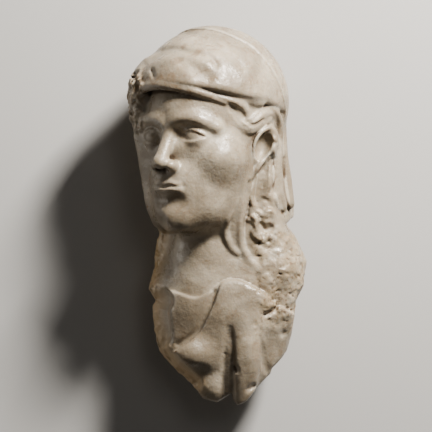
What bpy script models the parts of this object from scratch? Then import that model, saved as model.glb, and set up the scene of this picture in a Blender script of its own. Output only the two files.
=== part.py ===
"""A marble head with cap, veil and a broken piece of draped chest, lying on its back.

The row frame has +X to the figure's left, +Y to the crown and +Z up from the floor. The carving is
placed in hundredths of the head's height, from the chin at y 0 to the top of the cap at y 100.
"""

import math

import bmesh
import bpy
import numpy as np
from mathutils import Matrix, Vector

HEAD_HEIGHT = 0.163
BLOCK_VOXEL = 0.0030
FORM_VOXEL = 0.0020
TRIANGLES = 9600
PIECE = "marble_head"
COLLECTION = "Marble head sculpture"
MARBLE_COLOUR = (0.52, 0.46, 0.38, 1)
MARBLE_ROUGHNESS = 0.32

UNIT = HEAD_HEIGHT / 100
HEAD_TURN = math.radians(37)
HEAD_AXIS = np.array([0.0, 0.0, 44.0], np.float32)
FLOOR = 5.0
FLAT_CUT = 0.25


# Field helpers: each returns a signed distance, negative inside the stone

def length(v):
    return np.sqrt(np.einsum("ij,ij->i", v, v))


def turned(axis, degrees):
    return np.array(Matrix.Rotation(math.radians(degrees), 3, axis), np.float32)


def ellipsoid(p, centre, radii, turn=None):
    q = p - np.asarray(centre, np.float32)
    if turn is not None:
        q = q @ turn
    radii = np.asarray(radii, np.float32)
    near = length(q / radii)
    slope = length(q / (radii * radii))
    return near * (near - 1) / np.maximum(slope, 1e-6)


def plane(p, point, outward):
    outward = np.asarray(outward, np.float32)
    return (p - np.asarray(point, np.float32)) @ (outward / np.linalg.norm(outward))


def round_cone(p, start, end, r_start, r_end):
    start = np.asarray(start, np.float32)
    along = np.asarray(end, np.float32) - start
    q = p - start
    share = np.clip(q @ along / (along @ along), 0, 1)
    return length(q - share[:, None] * along) - (r_start + (r_end - r_start) * share)


def union(a, b, soft):
    gap = np.maximum(soft - np.abs(a - b), 0) / soft
    return np.minimum(a, b) - gap * gap * soft / 4


def subtract(a, b, soft):
    return -union(-a, b, soft)


def intersect(a, b, soft):
    return -union(-a, -b, soft)


def span(p):
    """Lowest and highest corner of a cloud of points."""
    columns = np.ascontiguousarray(p.T)
    return columns.min(axis=1), columns.max(axis=1)


def apart(points, low, high):
    """True if some points lie wholly outside a box."""
    points = np.asarray(points)[:, :len(low)]
    return bool((points.max(axis=0) < low).any() or (points.min(axis=0) > high).any())


def smooth_path(points, steps=4):
    """Points on a Catmull-Rom curve through the given ones."""
    knots = [np.asarray(q, np.float32) for q in points]
    knots = [2 * knots[0] - knots[1], *knots, 2 * knots[-1] - knots[-2]]
    found = []
    for a, b, c, d in zip(knots, knots[1:], knots[2:], knots[3:]):
        for t in np.arange(steps) / steps:
            found.append(
                0.5 * (2 * b + (c - a) * t + (2 * a - 5 * b + 4 * c - d) * t**2
                       + (3 * b - a - 3 * c + d) * t**3)
            )
    found.append(knots[-2])
    return np.array(found, np.float32)


def strand(p, points, radii, steps=4):
    """Distance to a rope through the points, each with its own radius."""
    found = np.full(len(p), 1e3, np.float32)
    widths = np.broadcast_to(np.asarray(radii, np.float32), (len(points),))
    reach = widths.max() + 8
    low, high = span(p)
    low, high = low - reach, high + reach
    if apart(points, low - 2, high + 2):
        return found
    path = smooth_path([(*q, w) for q, w in zip(points, widths)], steps)
    for a, b in zip(path, path[1:]):
        if apart((a, b), low, high):
            continue
        near = length(p - (a[:3] + b[:3]) / 2) < reach + np.linalg.norm(a[:3] - b[:3]) / 2
        found[near] = np.minimum(found[near], round_cone(p[near], a[:3], b[:3], a[3], b[3]))
    return found


def only_near(f, q, centre, reach, tool):
    """Applies a tool to the points within reach of the centre, and leaves the rest as they are."""
    near = length(q - np.asarray(centre, np.float32)) < reach
    f = f.copy()
    if near.any():
        f[near] = tool(q[near], f[near])
    return f


def only_where(mask, p, form):
    """A form's distance at the points of the mask, and far away elsewhere."""
    f = np.full(len(p), 1e3, np.float32)
    if mask.any():
        f[mask] = form(p[mask])
    return f


def lattice(seed):
    return np.random.default_rng(seed).uniform(-1, 1, (32, 32, 32)).astype(np.float32)


LATTICES = [lattice(seed) for seed in range(6)]


def noise(p, size, seed=0):
    """Smooth noise from -1 to 1, with lumps of the given size."""
    values = LATTICES[seed % len(LATTICES)].ravel()
    q = np.ascontiguousarray(p.T) / size + 3.7 * seed
    cell = np.floor(q).astype(np.int32)
    t = (q - cell).astype(np.float32)
    t = t * t * (3 - 2 * t)
    x0, y0, z0 = cell & 31
    x1, y1, z1 = cell + 1 & 31
    rows = []
    for x in (x0 * 1024, x1 * 1024):
        for y in (y0 * 32, y1 * 32):
            near = values.take(x + y + z0)
            rows.append(near + (values.take(x + y + z1) - near) * t[2])
    left = rows[0] + (rows[1] - rows[0]) * t[1]
    right = rows[2] + (rows[3] - rows[2]) * t[1]
    return left + (right - left) * t[0]


def rough(p, size, seed=0, octaves=3):
    return sum(noise(p, size / 2**n, seed + n) / 2**n for n in range(octaves))


def step(low, high, x):
    t = np.clip((x - low) / (high - low), 0, 1)
    return t * t * (3 - 2 * t)


def swell(distance, width):
    """1 at distance 0, falling off smoothly to 0 beyond the width."""
    return np.exp(-((distance / width) ** 2))


# The head, in its own frame: x to its left, y up, z forward

def to_head(p):
    return (p - HEAD_AXIS) @ turned("Y", -math.degrees(HEAD_TURN))


def mirrored(p):
    q = p.copy()
    q[:, 0] = np.abs(q[:, 0])
    return q


def skull(q):
    f = ellipsoid(q, (0, 59, -2), (29.5, 33, 37.5))
    f = union(f, ellipsoid(q, (0, 30, 5), (26, 31, 28.5)), 8)
    f = union(f, ellipsoid(q, (0, 12, 12), (18.5, 12.5, 21)), 8)
    return union(f, ellipsoid(q, (19, 36, 15), (9.5, 9, 12)), 8)


def eye(q, f):
    """A ball in its socket, and two lids that follow it around an almond-shaped opening."""
    brow = strand(q, [(2, 52, 33), (8, 54.2, 32.8), (15, 54.2, 30), (21.5, 50.5, 23.5)], (2.2, 2.6, 2.6, 2))
    f = union(f, brow, 5)
    f = subtract(f, ellipsoid(q, (11.6, 46.4, 37.4), (8.2, 4.8, 7)), 5)
    across = (q[:, 0] - 11.6) / 7.0
    arch = 1 - across * across
    above = q[:, 1] - (45.9 + 3.0 * arch)
    below = (45.9 - 2.0 * arch) - q[:, 1]
    lid = step(-0.65, 0.65, np.maximum(above, below))
    fold = 0.6 * swell(above - 2.4, 0.8) * step(1.3, 0.9, np.abs(across))
    ball = length(q - np.array([11.4, 46, 24.6], np.float32)) - (7.1 + 1.0 * lid - fold)
    return union(f, ball, 1.4)


def nose(q, f):
    f = union(f, round_cone(q, (0, 50, 31), (0, 35, 38.8), 2.8, 3.4), 3)
    f = union(f, ellipsoid(q, (0, 33.6, 39.8), (3.6, 3.2, 3.6)), 2)
    f = union(f, ellipsoid(q, (4.4, 32.2, 36.4), (2.7, 2.7, 3.8)), 1.6)
    return subtract(f, ellipsoid(q, (2.6, 30.3, 37.6), (1.2, 1.3, 1.8)), 0.8)


def mouth(q, f):
    """Lips raised on the rounded front of the jaw, with a thin line where they meet."""
    x, y, z = q.T
    f = union(f, ellipsoid(q, (0, 23, 25.5), (12, 10, 9.5)), 7)
    f = union(f, ellipsoid(q, (0, 6.6, 27.5), (8.5, 6.4, 7)), 7)
    line = 21.8 + 0.5 * swell(x - 3.2, 2.2) + 0.3 * step(5, 8.6, x)
    full = np.sqrt(np.clip(1 - (x / 8.6) ** 2, 0, 1))
    front = step(16, 22, z)
    upper = 0.95 * full * swell(y - line - 1.5 * full, 1.3) * (1 - 0.3 * swell(x, 1.1))
    lower = 1.2 * full * swell(y - line + 1.9 * full, 1.7)
    parting = 0.8 * swell(y - line, 0.8) * step(9.4, 7, x)
    corner = 0.5 * swell(x - 9, 1.6) * swell(y - line, 1.6)
    f = f - front * (upper + lower - parting - corner)
    f = subtract(f, round_cone(q, (0, 14.6, 37.6), (6, 15, 35.4), 2.6, 2.0), 5)
    return subtract(f, round_cone(q, (0, 29, 37.8), (0, 26.2, 37.4), 0.8, 1.0), 1.8)


def hair_ground(q):
    """The low mass that the hair rises from, behind a line that slants from the forehead to the ear."""
    f = ellipsoid(q, (0, 58, -5), (31, 31, 36.5))
    f = intersect(f, plane(q, (25, 55, 9), (0.1, -0.5, 0.86)), 2)
    return intersect(f, 44 - q[:, 1], 2)


CAP_CENTRE = (0, 64, -1.5)
CAP_RADII = (34.5, 36, 41)
VEIL_RADII = (35.2, 36.8, 41.9)
CAP_FOLDS = [
    ([(-22, 76, 28), (-15, 82, 28), (-6, 85.5, 28), (5, 84, 30), (14, 79, 31), (20, 75, 29)], 1.5, 3.8),
    ([(-4, 97, 13), (8, 93, 17), (18, 86, 16), (26, 79, 12)], 0.9, 3.2),
]


def cap(q):
    x, y, z = q.T
    f = ellipsoid(q, CAP_CENTRE, CAP_RADII)
    f = union(f, ellipsoid(q, (-17, 75, 17), (13, 10.5, 14)), 6)
    edge = 61.6 + 0.24 * z + 0.9 * step(20, 30, x) * step(16, 4, z)
    f = intersect(f, (edge - y) * 0.97, 3.4)
    for line, depth, width in CAP_FOLDS:
        f = f + depth * np.exp(-(np.maximum(strand(q, line, 0.0), 0) / width) ** 2)
    layer = ellipsoid(q, CAP_CENTRE, VEIL_RADII)
    front = z + 18.5 - 0.62 * (y - 62) - 6 * step(88, 100, y)
    return union(f, intersect(layer, front * 0.8, 1.0), 0.4)


def head(p):
    q = to_head(p)
    m = mirrored(q)
    f = skull(m)
    f = only_near(f, m, (12, 49, 27), 20, eye)
    f = only_near(f, m, (0, 38, 35), 20, nose)
    f = only_near(f, m, (0, 17, 32), 26, mouth)
    f = union(f, hair_ground(m), 1.5)
    return union(f, cap(q), 0.8)


# The hair and the left ear, in the row frame

BAND = [(-36, 66, 53), (-32, 69.6, 61.6), (-26, 70.8, 69.8), (-20, 70.4, 74.4), (-10, 68.6, 77.4),
        (-2.4, 66.4, 77), (5.4, 64, 74.6), (11, 62.4, 72.4), (14.8, 61.2, 69.8), (16.6, 58.4, 68),
        (17, 55.4, 66.4)]
BAND_RADII = (2.4, 2.4, 2.3, 2.2, 2.1, 2.2, 2.4, 2.6, 2.6, 2.2, 1.8)
TEMPLE_LOCK = [(4.5, 63, 72.8), (8.2, 59, 71.4), (11.2, 55.2, 69.6), (13.8, 52, 68)]
OVER_EAR = [(13.6, 52.6, 67.6), (17, 52, 66), (20.6, 54, 63.6), (24.4, 57.2, 60), (28, 58.8, 56),
            (31.4, 57.4, 51.6), (33.4, 53.6, 47.6), (33.6, 48, 45.6), (32.6, 43, 45)]
OVER_EAR_RADII = (2.8, 3.6, 3.8, 3.6, 3.2, 2.8, 2.4, 2.0, 1.6)
UNDER_LOCK = [(15.6, 49.4, 66.4), (19.8, 50, 63.6), (24, 52.8, 60.4), (28, 54.8, 56)]
FAR_SIDE = [
    ((-28.5, 54, 42), (11, 21, 14)),
    ((-22, 26, 43), (13, 26, 13)),
    ((-33.4, 65, 52.6), (6.2, 14, 8)),
]


def hair(p, f):
    for centre, radii in FAR_SIDE:
        f = union(f, ellipsoid(p, centre, radii), 4)
    under_cap = [(x, y + 2.6, z - 1.6) for x, y, z in BAND[3:9]]
    f = union(f, strand(p, under_cap, 2.4), 1.0)
    f = union(f, strand(p, BAND, BAND_RADII), 1.0)
    f = union(f, strand(p, TEMPLE_LOCK, (1.6, 2.2, 2.2, 1.8)), 1.0)
    f = union(f, strand(p, OVER_EAR, OVER_EAR_RADII), 1.2)
    f = union(f, strand(p, UNDER_LOCK, (2.2, 2.8, 2.8, 2)), 1.2)
    temple_hollow = [(8.6, 61.4, 75.4), (11.4, 59.6, 73.4), (13.6, 57, 71.6)]
    f = subtract(f, strand(p, temple_hollow, (0.5, 1.5, 0.8)), 1.2)
    over_ear_groove = [(16.6, 54.4, 70), (21, 51.6, 67.4), (25.6, 54.6, 63)]
    return subtract(f, strand(p, over_ear_groove, (0.4, 0.8, 0.4)), 1.0)


EAR_RIM = [(22, 36.2, 61.6), (21.4, 40, 63), (22.2, 44.4, 63.6), (25, 48.4, 62.2), (28.6, 50.4, 59.8),
           (30.8, 47.2, 58), (30.7, 43, 57.6), (29.4, 39.2, 58.4), (27, 36.2, 59.4), (24.8, 33.4, 60.2),
           (22.8, 30.4, 60.2), (20.9, 27.4, 59)]
EAR_RIM_RADII = (0.9, 0.9, 1.0, 1.2, 1.3, 1.2, 1.1, 1.1, 1.2, 1.5, 1.4, 1.0)


def ear(p, f):
    lean = turned("Z", -24)
    f = union(f, ellipsoid(p, (26.2, 41.4, 54.5), (6.2, 11, 7.4), lean), 2)
    f = union(f, strand(p, [(19.6, 46, 60), (20.4, 41, 60.4), (21.8, 35, 59.6)], (2.2, 2.2, 2.4)), 2)
    f = union(f, strand(p, EAR_RIM, EAR_RIM_RADII), 1.0)
    return subtract(f, ellipsoid(p, (26.1, 41.6, 61.6), (3.8, 7.2, 5.6), lean), 0.8)


# The neck, chest and veil, in the row frame

def neck(p):
    return round_cone(p, (-2, -32, 36), (0, 18, 44), 19.5, 17)


def chest(p):
    f = ellipsoid(p, (4, -42, 26), (38, 46, 29))
    f = union(f, ellipsoid(p, (26, -20, 34), (22.5, 28, 23)), 12)
    return union(f, ellipsoid(p, (-17.5, -4, 29), (10.5, 14, 11)), 6)


NECKLINE = [(-40, -25), (-24, -27), (-15.9, -29), (-7.8, -31.4), (-2.3, -29.8), (3.1, -25.4),
            (7.5, -23.4), (12.9, -22.9), (20, -25.4), (26, -29), (34, -36), (50, -44)]
MANTLE_EDGE = [(-90, -44), (-66, -27), (-60.8, -20.8), (-55.9, -14.3), (-53, -10), (-47.8, -5),
               (-42.3, -2.3), (-36.3, 1), (-30, 3.1), (-24, 4.4), (20, 10)]


def dress(p, body):
    x, y, z = p.T
    line = smooth_path(NECKLINE).T
    below = (y - np.interp(x, line[0], line[1])) * 0.85
    tunic = intersect(body - 1.3, below, 1.8)
    line = smooth_path(MANTLE_EDGE).T
    left = (np.interp(y, line[0], line[1]) - x) * 0.78
    thickness = 2.6 + 2.6 * swell(x - 13, 15) * swell(y + 38, 16)
    mantle = body - thickness
    mantle = union(mantle, ellipsoid(p, (-8, -58.5, 46), (13.5, 10.5, 13.5)), 5)
    mantle = union(mantle, strand(p, [(17.5, -44, 53), (18, -60, 53), (16.5, -80, 47)], (7, 7, 5.5)), 5)
    beside_fold = [(15.4, -46, 55.4), (15, -58, 55.8), (14.8, -70, 53), (14.6, -86, 47)]
    mantle = union(mantle, strand(p, beside_fold, (2.6, 3.4, 3.4, 3.2)), 2)
    mantle = union(mantle, ellipsoid(p, (2, -74, 40), (9, 11, 11)), 4)
    mantle = subtract(mantle, strand(p, DEEP_FOLD, (0.5, 1.6, 2.2, 2.2, 2)), 3)
    mantle = subtract(mantle, strand(p, SIDE_FOLD, (0.6, 2.0, 2.4, 2.0)), 1.6)
    mantle = subtract(mantle, ellipsoid(p, (-7, -71.5, 59), (8, 5.5, 7)), 4)
    mantle = intersect(intersect(mantle, below, 2.6), left, 2.2)
    return union(union(body, tunic, 0.5), mantle, 0.5)


DEEP_FOLD = [(9.6, -47.5, 60), (9.4, -53, 57.6), (9, -61, 56), (8.8, -71, 53.4), (8.8, -86, 49.4)]
SIDE_FOLD = [(24.8, -51, 57.6), (26.8, -58, 53.6), (27.6, -64.5, 50), (31, -71, 43.5)]


def locks(p, f):
    strip = [(21, 40, 56), (17, 32, 57.5), (14.4, 22, 57.5), (12.6, 12, 56), (11.2, 3, 53.6), (12, -6, 50)]
    f = union(f, strand(p, strip, (2, 4.6, 5.2, 5.4, 5.6, 5.6)), 3)
    left_ridge = [(13.6, 32, 61.8), (12.4, 23, 62), (10.9, 15, 62.8), (8.8, 7, 63.4), (7.4, 2, 59.4),
                  (8.2, -3.6, 57), (10.4, -7.6, 55.4), (13.6, -10.4, 54.6)]
    f = union(f, strand(p, left_ridge, (0.6, 1.1, 1.4, 1.4, 1.5, 1.6, 1.4, 1.2)), 1.6)
    right_ridge = [(17.4, 32, 61.4), (16, 23, 61.8), (15.3, 14, 60.8), (14.8, 6, 59), (14.6, -1, 56.8),
                   (15.6, -7, 54.6), (18.6, -12, 54), (22, -16.4, 55), (26.4, -20.8, 55.4)]
    f = union(f, strand(p, right_ridge, (0.8, 1.4, 1.6, 1.6, 1.6, 1.8, 2.0, 2.0, 1.6)), 1.6)
    mass = [(29, 40, 47), (27.4, 28, 48), (26, 14, 48), (27, 2, 48), (29, -6, 45)]
    f = union(f, strand(p, mass, (4, 6, 8, 9, 9)), 3)
    f = union(f, strand(p, UNDER_CURLS, (4, 6, 6, 6.4, 6.4, 5.6)), 2)
    for curl, radii in CURLS:
        f = union(f, strand(p, curl, radii), 1.2)
    for cut, radii in DRILLED:
        f = subtract(f, strand(p, cut, radii), 1.2)
    return f


UNDER_CURLS = [(26, 36, 51), (24, 28, 51.4), (22, 20, 51.4), (20.2, 10, 50.4), (20, 0, 50), (22.4, -8, 50.4)]
CURLS = [
    ([(30.4, 40, 53), (29, 35, 54.4), (28.8, 29, 55), (28.2, 23.4, 55.2), (26.4, 19, 55)],
     (1.6, 2.2, 2.8, 3, 2.4)),
    ([(21.8, 27, 57.6), (20.6, 21.6, 58), (19.8, 16.4, 57.6), (21, 12.4, 57), (20, 8.4, 56.6)],
     (1, 1.4, 1.7, 1.8, 1.2)),
    ([(19, 6.4, 56.4), (21.4, 7, 57.2), (22.6, 3.6, 57), (21.4, 0, 56), (24, -3, 55.6), (27, -3.6, 54.6)],
     (1.4, 1.9, 2, 1.9, 2, 1.4)),
    ([(23.4, 10, 55.6), (26, 8.6, 56.2), (29, 9.6, 55.4), (31, 6.4, 54)], (1.4, 1.9, 2.2, 1.6)),
    ([(27.4, 19, 55), (30.4, 16, 53.6), (31.4, 11, 52.6)], (2.2, 2.4, 2)),
]
DRILLED = [
    ([(29.4, 36.6, 59), (26.6, 31.4, 60), (24.2, 26.8, 60), (21.8, 20.4, 60)], (0.9, 1.5, 1.7, 1.0)),
    ([(19, 24, 61.8), (17.9, 16, 61), (17.3, 6, 59.6), (17.8, 0, 58), (20.6, -4.2, 57.4), (23, -6, 56.8)],
     (0.8, 1.3, 1.4, 1.2, 1, 0.6)),
    ([(22.6, 15.6, 60), (25, 13.6, 59.8), (28, 13.4, 58.6)], (1.2, 2.0, 1.4)),
    ([(25.4, 3.4, 58.6), (27.6, 1.8, 58), (29.4, 2.4, 57)], (1.6, 2.2, 1.6)),
]

VEIL_AXIS = (5, 26)
VEIL_REACH = (32.6, 24)
VEIL_FOLDS = [
    ([(33.6, 60, 42), (33, 46, 43.8), (32.4, 33, 45.4), (33.4, 21, 46), (35.6, 12.4, 45)],
     (2.2, 2.4, 2.6, 3.2, 2.8)),
    ([(33.4, 54, 39), (33.4, 40, 40.2), (33.8, 28, 41), (35.4, 16, 41.4), (36.4, 9, 41)],
     (1.6, 2, 2.6, 2.6, 2)),
    ([(35.4, 50, 35), (35.4, 38, 36.6), (36.6, 27, 36), (38.4, 14, 37.6)], (2.2, 2.8, 3.4, 3)),
    ([(34.6, 47, 26.5), (35.4, 35, 24.8), (36.4, 24, 27.6), (37.4, 13, 25.6)], (2, 2.8, 3.2, 3)),
]


def veil(p):
    x, y, z = p.T
    flare = 1 + 0.10 * step(32, 16, y)
    across = (x - VEIL_AXIS[0]) / (VEIL_REACH[0] * flare)
    deep = (z - VEIL_AXIS[1]) / VEIL_REACH[1]
    around = np.arctan2(deep, across)
    ripple = 0.5 * np.sin(11 * around) * step(58, 30, y)
    sheet = (np.sqrt(across**2 + deep**2) - 1) * 28 + ripple
    foot = 3 + 2.2 * noise(p, 11, 4) - 30 * step(34, 20, z)
    sheet = intersect(sheet, np.maximum(y - 74, foot - y), 7)
    f = intersect(sheet, z - 43, 3)
    for fold, radii in VEIL_FOLDS:
        f = union(f, strand(p, fold, radii), 2.4)
    return union(f, ellipsoid(p, (32, 4, 38), (7.5, 8, 12)), 3)


# The breaks

OUTLINE = [(-60, 2.5), (-26, 2.5), (-24.3, 0), (-27.2, -11), (-29.2, -22), (-29.4, -28), (-26.6, -33.5),
           (-28.1, -37), (-27, -48), (-24.6, -58), (-18.1, -66.8), (-8.3, -74.4), (-6.1, -77.7), (-3.4, -81.5),
           (3.7, -83.2), (10.4, -78.6), (11.2, -82), (13.5, -84.5), (17.3, -82.6), (22.7, -76.6),
           (29.8, -69.5), (30.4, -66.8), (37.4, -58.6), (39.8, -50.4), (41.8, -36.8), (42.4, -32.5),
           (45.6, -26), (46.7, -14), (44, -6.8), (41.3, -1.5), (37, 4.2), (39.8, 6), (60, 12),
           (60, 120), (-60, 120)]
LEFT_EDGE = OUTLINE[2:12]
FAR = 12.0


def from_line(p, a, b):
    """Steps in the x and y plane from the nearest point of a straight line to each point."""
    a = np.array(a, np.float32)
    along = np.array(b, np.float32) - a
    w = p[:, :2] - a
    share = np.clip(w @ along / (along @ along), 0, 1)
    return w - share[:, None] * along


def far_from(middle, half, line, reach):
    """True if a cloud with this middle and half size is further than reach from a line in x and y."""
    return min(length(from_line(middle[None], a, b))[0] for a, b in zip(line, line[1:])) > reach + half


def is_inside(p, line):
    inside = np.zeros(len(p), bool)
    for a, b in zip(line, line[1:]):
        crosses = (a[1] > p[:, 1]) != (b[1] > p[:, 1])
        side = (p[:, 0] - a[0]) * (b[1] - a[1]) < (p[:, 1] - a[1]) * (b[0] - a[0])
        inside ^= crosses & (side == (b[1] > a[1]))
    return inside


def broken_outline(p):
    """Distance in the x and y plane to the broken outline of the chest, at most FAR."""
    closed = OUTLINE + OUTLINE[:1]
    low, high = span(p[:, :2])
    middle, half = (low + high) / 2, np.linalg.norm(high - low) / 2
    if far_from(middle, half, closed, FAR):
        return np.full(len(p), -FAR if is_inside(p[:1], closed)[0] else FAR, np.float32)
    nearest = np.full(len(p), FAR, np.float32)
    for a, b in zip(closed, closed[1:]):
        if not far_from(middle, half, [a, b], FAR):
            nearest = np.minimum(nearest, length(from_line(p, a, b)))
    return nearest * np.where(is_inside(p, closed), -1, 1)


def from_left_edge(p):
    nearest = [length(from_line(p, a, b)) for a, b in zip(LEFT_EDGE, LEFT_EDGE[1:])]
    return np.minimum.reduce(nearest)


BACK_BREAKS = [
    ((8, -28, FLOOR), (0, -0.55, -0.83)),
    ((-6, -20, FLOOR), (-0.72, 0, -0.69)),
    ((26, -20, FLOOR), (0.78, -0.1, -0.62)),
]


def broken(p, f):
    x, y, z = p.T
    lumps = rough(p, 14, 9, 2)
    chip = 0.9 * rough(p, 9, 3)
    crust = step(16, 26, x) * step(8, 0, y) * step(-52, -40, y)
    f = f - crust * (0.8 * chip + 0.9 * lumps)
    f = intersect(f, broken_outline(p) + 0.5 * chip, 1.2)
    from_edge = from_left_edge(p)
    shelf = 7.5 - 5 * step(-48, -58, y)
    bevel = (z - 37 - 1.25 * from_edge - 3 * np.maximum(from_edge - shelf, 0)) / 1.6
    f = intersect(f, np.minimum(bevel, -1 - y) + 0.5 * chip, 1.0)
    jaw = -plane(p, (-28.5, 13, 60), (-0.86, -0.40, 0.30))
    jaw = np.maximum.reduce([jaw, y - 36, -4 - y])
    f = subtract(f, jaw - 0.6 * chip, 0.8)
    temple = -plane(p, (-36, 58, 44), (-0.80, -0.14, -0.58))
    temple = np.maximum(temple, 3 - y + 4 * lumps)
    f = subtract(f, temple - chip - 1.2 * lumps, 1.0)
    for point, outward in BACK_BREAKS:
        gone = np.maximum(-plane(p, point, outward), y - 4)
        f = subtract(f, gone - chip - 1.5 * lumps, 2.0)
    return f


def torso(p):
    return dress(p, union(neck(p), chest(p), 7))


def carved(p):
    """The sculpture before it broke."""
    f = only_where(p[:, 1] > -14, p, head)
    f = only_near(f, p, (-4, 48, 56), 62, hair)
    f = only_near(f, p, (26, 41, 58), 20, ear)
    f = union(f, only_where(p[:, 1] < 42, p, torso), 4)
    f = union(f, only_where((p[:, 1] > -36) & (p[:, 2] < 62), p, veil), 2.5)
    return only_near(f, p, (20, 10, 54), 42, locks)


def field(p):
    return np.maximum(broken(p, carved(p)), FLOOR - p[:, 2])


# Meshing: rough balls set the mass, and the field then pulls each point onto the carved surface

BLOCKS = [
    ((0.9, 64, 43), (35, 35, 37)),
    ((-3, 30, 48), (26, 31, 26)),
    ((-13, 10, 61), (12, 9, 12)),
    ((-22.3, 35, 72), (4, 7, 7)),
    ((26.5, 41, 55), (6, 11, 7)),
    ((22, 53, 58), (10, 6, 8)),
    ((26, 18, 48), (8, 26, 9)),
    ((14, 12, 54), (5, 26, 6)),
    ((-29, 52, 50), (9, 20, 13)),
    ((5, 34, 28), (33, 44, 24)),
    ((-1, -8, 40), (18, 36, 18)),
    ((6, -44, 30), (36, 42, 28)),
    ((27, -18, 34), (19, 25, 22)),
    ((-8, -58, 46), (12, 10, 12)),
    ((17.5, -62, 52), (7, 24, 7)),
    ((33, 6, 36), (7, 10, 12)),
]


def block_in():
    bm = bmesh.new()
    for centre, radii in BLOCKS:
        place = Matrix.Translation(Vector(centre) * UNIT) @ Matrix.Diagonal((*(Vector(radii) * UNIT), 1))
        bmesh.ops.create_icosphere(bm, subdivisions=4, radius=1, matrix=place)
    mesh = bpy.data.meshes.new(PIECE)
    bm.to_mesh(mesh)
    bm.free()
    body = bpy.data.objects.new(PIECE, mesh)
    bpy.context.scene.collection.objects.link(body)
    return body


def apply_modifiers(body):
    graph = bpy.context.evaluated_depsgraph_get()
    mesh = bpy.data.meshes.new_from_object(body.evaluated_get(graph))
    old = body.data
    body.modifiers.clear()
    body.data = mesh
    bpy.data.meshes.remove(old)
    mesh.name = body.name


def keep_largest(body):
    """Keeps the largest connected surface, so that no closed bubble is left inside it."""
    bm = bmesh.new()
    bm.from_mesh(body.data)
    unseen = set(bm.verts)
    shells = []
    while unseen:
        shell = [unseen.pop()]
        for vert in shell:
            near = [edge.other_vert(vert) for edge in vert.link_edges]
            shell += [other for other in near if other in unseen]
            unseen.difference_update(near)
        shells.append(shell)
    shells.sort(key=len)
    bmesh.ops.delete(bm, geom=[vert for shell in shells[:-1] for vert in shell], context="VERTS")
    bm.to_mesh(body.data)
    bm.free()


def remesh(body, voxel):
    modifier = body.modifiers.new("Fuse", "REMESH")
    modifier.mode = "VOXEL"
    modifier.voxel_size = voxel
    apply_modifiers(body)
    keep_largest(body)


def points_of(mesh):
    co = np.empty(len(mesh.vertices) * 3, np.float32)
    mesh.vertices.foreach_get("co", co)
    return co.reshape(-1, 3)


TETRA = np.array([(1, -1, -1), (-1, -1, 1), (-1, 1, -1), (1, 1, 1)], np.float32)


def settle(body, rounds, reach, form):
    """Moves each vertex onto the carved surface, at most reach units a round."""
    p = points_of(body.data) / UNIT
    probe = 0.25
    for _ in range(rounds):
        values = [form(p + probe * corner) for corner in TETRA]
        slope = sum(v[:, None] * corner for v, corner in zip(values, TETRA)) / (4 * probe)
        value = sum(values) / 4
        move = -value / np.maximum((slope * slope).sum(1), 0.05)
        size = np.abs(move) * length(slope)
        move *= np.minimum(1, reach / np.maximum(size, 1e-6))
        p = p + move[:, None] * slope
    body.data.vertices.foreach_set("co", (p * UNIT).astype(np.float32).ravel())
    body.data.update()


def relax(body, factor, times):
    modifier = body.modifiers.new("Relax", "SMOOTH")
    modifier.factor = factor
    modifier.iterations = times
    apply_modifiers(body)


def sculpt(form, voxel):
    body = block_in()
    remesh(body, BLOCK_VOXEL)
    settle(body, 8, 3, form)
    relax(body, 0.5, 2)
    remesh(body, max(voxel, FORM_VOXEL))
    settle(body, 6, 2, form)
    relax(body, 0.4, 2)
    remesh(body, voxel)
    settle(body, 4, 1, form)
    return body


def thin_out(body, triangles):
    modifier = body.modifiers.new("Thin out", "DECIMATE")
    body.data.calc_loop_triangles()
    modifier.ratio = triangles / len(body.data.loop_triangles)
    apply_modifiers(body)


def cut_flat(body, height):
    """Cuts the back off level, and closes the cut with flat faces that the head rests on."""
    bm = bmesh.new()
    bm.from_mesh(body.data)
    parts = bm.verts[:] + bm.edges[:] + bm.faces[:]
    bmesh.ops.bisect_plane(bm, geom=parts, dist=1e-7, plane_co=(0, 0, height), plane_no=(0, 0, 1),
                           clear_inner=True)
    for vert in bm.verts:
        if vert.is_boundary:
            vert.co.z = height
    bmesh.ops.holes_fill(bm, edges=[edge for edge in bm.edges if edge.is_boundary], sides=0)
    bmesh.ops.triangulate(bm, faces=[face for face in bm.faces if len(face.verts) > 3])
    bm.to_mesh(body.data)
    bm.free()


def stand_on_origin(body):
    """Puts the middle of the box's underside at the origin."""
    points = points_of(body.data)
    low = points.min(axis=0)
    middle = (low + points.max(axis=0)) / 2
    body.location = (-middle[0], -middle[1], -low[2])


def marble():
    material = bpy.data.materials.new("Marble")
    material.use_nodes = True
    shader = material.node_tree.nodes["Principled BSDF"]
    shader.inputs["Base Color"].default_value = MARBLE_COLOUR
    shader.inputs["Roughness"].default_value = MARBLE_ROUGHNESS
    shader.inputs["Metallic"].default_value = 0.0
    return material


def main():
    for thing in list(bpy.data.objects):
        bpy.data.objects.remove(thing)
    body = sculpt(field, FORM_VOXEL)
    thin_out(body, TRIANGLES)
    cut_flat(body, (FLOOR + FLAT_CUT) * UNIT)
    stand_on_origin(body)
    body.data.shade_smooth()
    body.data.materials.append(marble())
    parts = bpy.data.collections.new(COLLECTION)
    bpy.context.scene.collection.children.link(parts)
    bpy.context.scene.collection.objects.unlink(body)
    parts.objects.link(body)


if __name__ == "__main__":
    main()
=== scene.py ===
import math
from concurrent.futures import ThreadPoolExecutor

import bpy
import numpy as np
import openvdb
from mathutils import Matrix, Vector


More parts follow.
